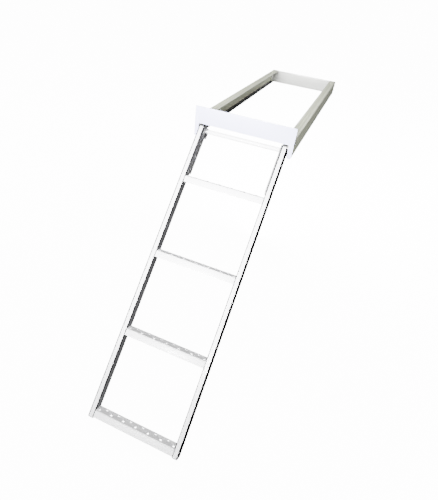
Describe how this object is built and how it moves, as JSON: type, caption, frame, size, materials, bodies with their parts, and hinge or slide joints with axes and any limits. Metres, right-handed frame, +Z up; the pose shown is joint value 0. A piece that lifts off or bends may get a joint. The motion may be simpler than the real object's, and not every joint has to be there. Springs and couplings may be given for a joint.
{
  "type": "pull-out access ladder",
  "caption": "Ladder with flat perforated treads that slides out of a flat under-deck frame on two shoes and swings down to be climbed",
  "frame": {"origin": "middle of the four deck bolt holes, on the top faces of the frame's side rails", "axes": "+X to the right seen from the front panel, +Y from the front panel to the back plate, +Z up"},
  "size_m": [0.4052, 2.0038, 0.921],
  "materials": {
    "white_coat": "smooth white powder coat",
    "mill_aluminium": "dull mill finish",
    "plate_aluminium": "brushed flat bar",
    "black_nylon": "low-friction black plastic",
    "shoe_nylon": "machined dark nylon",
    "black_rubber": "solid black rubber",
    "zinc_steel": "bright zinc plate",
    "dark_steel": "black-oxide steel"
  },
  "bodies": {
    "frame": {"right_frame_rail": "mill_aluminium", "left_frame_rail": "mill_aluminium", "fascia_panel": "white_coat", "back_plate": "mill_aluminium", "right_wear_strip": "black_nylon", "left_wear_strip": "black_nylon", "fascia_screws": "zinc_steel", "back_plate_screws": "zinc_steel"},
    "carriage": {"right_slide_shoe": "shoe_nylon", "left_slide_shoe": "shoe_nylon", "pivot_rod": "zinc_steel"},
    "ladder": {"right_ladder_rail": "white_coat", "left_ladder_rail": "white_coat", "right_pivot_plate": "plate_aluminium", "left_pivot_plate": "plate_aluminium", "right_pivot_plate_rivets": "plate_aluminium", "left_pivot_plate_rivets": "plate_aluminium", "right_pivot_bush": "shoe_nylon", "left_pivot_bush": "shoe_nylon", "spacer_tube": "white_coat", "tread_1": "white_coat", "tread_2": "white_coat", "tread_3": "white_coat", "tread_4": "white_coat", "right_stop_pad": "black_rubber", "left_stop_pad": "black_rubber", "right_foot_cap": "black_nylon", "left_foot_cap": "black_nylon", "strap_hook": "dark_steel"}
  },
  "joints": [
    {"name": "carriage_slide", "type": "slide", "parent": "frame", "child": "carriage", "axis": [0, 1, 0], "range_m": [0, 1.115]},
    {"name": "ladder_swing", "type": "hinge", "parent": "carriage", "child": "ladder", "pos_m": [0, -0.578, -0.052], "axis": [-1, 0, 0], "range_deg": [0, 45]}
  ]
}
